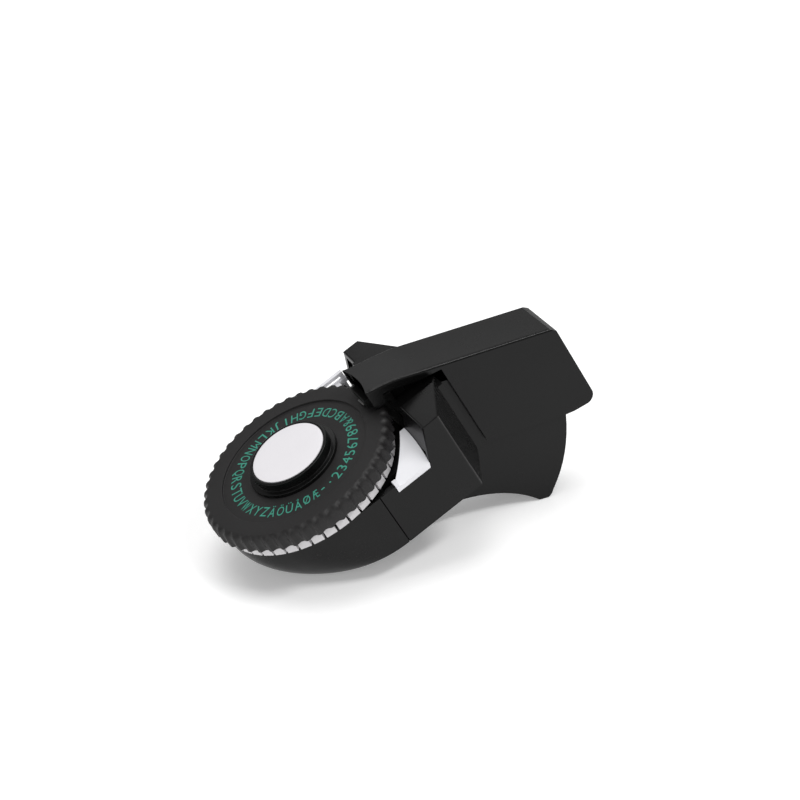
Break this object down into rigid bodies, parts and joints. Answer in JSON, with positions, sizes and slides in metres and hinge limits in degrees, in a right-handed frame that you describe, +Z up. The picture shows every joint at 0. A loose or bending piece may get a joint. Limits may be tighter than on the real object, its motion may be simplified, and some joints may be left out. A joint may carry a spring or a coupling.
{
  "type": "label maker",
  "caption": "Handheld embossing label maker: a knurled character wheel over a die wheel, a squeeze lever that drives the press hammer, and a tape chute.",
  "frame": {"origin": "centre of the footprint box, on the surface that the toe and the tail stand on", "axes": "+Z up, +X from the character wheel towards the handle, -Y the side that the label leaves from; the wheel's own axis leans forward by about 26.5 degrees"},
  "size_m": [0.1126, 0.0566, 0.0532],
  "materials": {
    "casing_black": "moulded, glossy",
    "frame_black": "moulded, matt",
    "wheel_black": "moulded, fine texture, printed characters",
    "die_white": "moulded, satin",
    "knob_black": "moulded, satin gloss",
    "cap_white": "moulded, satin gloss",
    "chute_white": "moulded, satin gloss",
    "hammer_black": "moulded, satin",
    "slider_grey": "acetal, satin",
    "steel": "turned and plated",
    "spring_steel": "spring wire and strip"
  },
  "bodies": {
    "root": {"left_casing": "casing_black", "right_casing": "casing_black", "front_pan": "casing_black", "wheel_deck": "frame_black", "wheel_axle": "steel", "axle_washer": "steel", "axle_screw": "steel", "detent_spring": "spring_steel", "anvil": "steel", "tape_chute": "chute_white", "tape_guide": "chute_white", "lever_pin": "steel", "casing_screws": "steel", "deck_screws": "steel", "lever_spring": "spring_steel", "hammer_spring": "spring_steel", "crank_pin": "steel", "crank_spring": "spring_steel"},
    "wheel": {"upper_character_disc": "wheel_black", "lower_die_disc": "die_white", "wheel_knob": "knob_black", "knob_cap": "cap_white", "cutter_blade": "steel"},
    "lever": {"lever": "casing_black", "feed_foot": "casing_black"},
    "hammer": {"hammer": "hammer_black", "hammer_tip": "steel"},
    "crank": {"feed_crank": "steel"},
    "feeder": {"feed_slider": "slider_grey", "feed_finger": "spring_steel"}
  },
  "joints": [
    {"name": "wheel_spin", "type": "hinge", "parent": "root", "child": "wheel", "pos_m": [-0.03097, 0, 0.0302], "axis": [-0.4466, 0, 0.8947], "continuous": true},
    {"name": "lever_press", "type": "hinge", "parent": "root", "child": "lever", "pos_m": [0.04774, 0, 0.03216], "axis": [0, -1, 0], "range_deg": [0, 2.6], "stiffness_Nm_per_rad": 1, "springref_deg": -1.72, "deforming": ["lever_spring"]},
    {"name": "hammer_slide", "type": "slide", "parent": "root", "child": "hammer", "axis": [0.4466, 0, -0.8947], "range_m": [0, 0.0008], "deforming": ["hammer_spring"]},
    {"name": "feed_crank_turn", "type": "hinge", "parent": "root", "child": "crank", "pos_m": [-0.0044, 0.0135, 0.04212], "axis": [0.8947, 0, 0.4466], "range_deg": [0, 28], "deforming": ["crank_spring"]},
    {"name": "feed_slide", "type": "slide", "parent": "root", "child": "feeder", "axis": [0, 1, 0], "range_m": [0, 0.00357]}
  ],
  "couplings": [
    {"joint": "hammer_slide", "follows": "lever_press", "m_per_rad": 0.017628},
    {"joint": "feed_crank_turn", "follows": "lever_press", "ratio": 10.768},
    {"joint": "feed_slide", "follows": "lever_press", "m_per_rad": 0.078664}
  ]
}
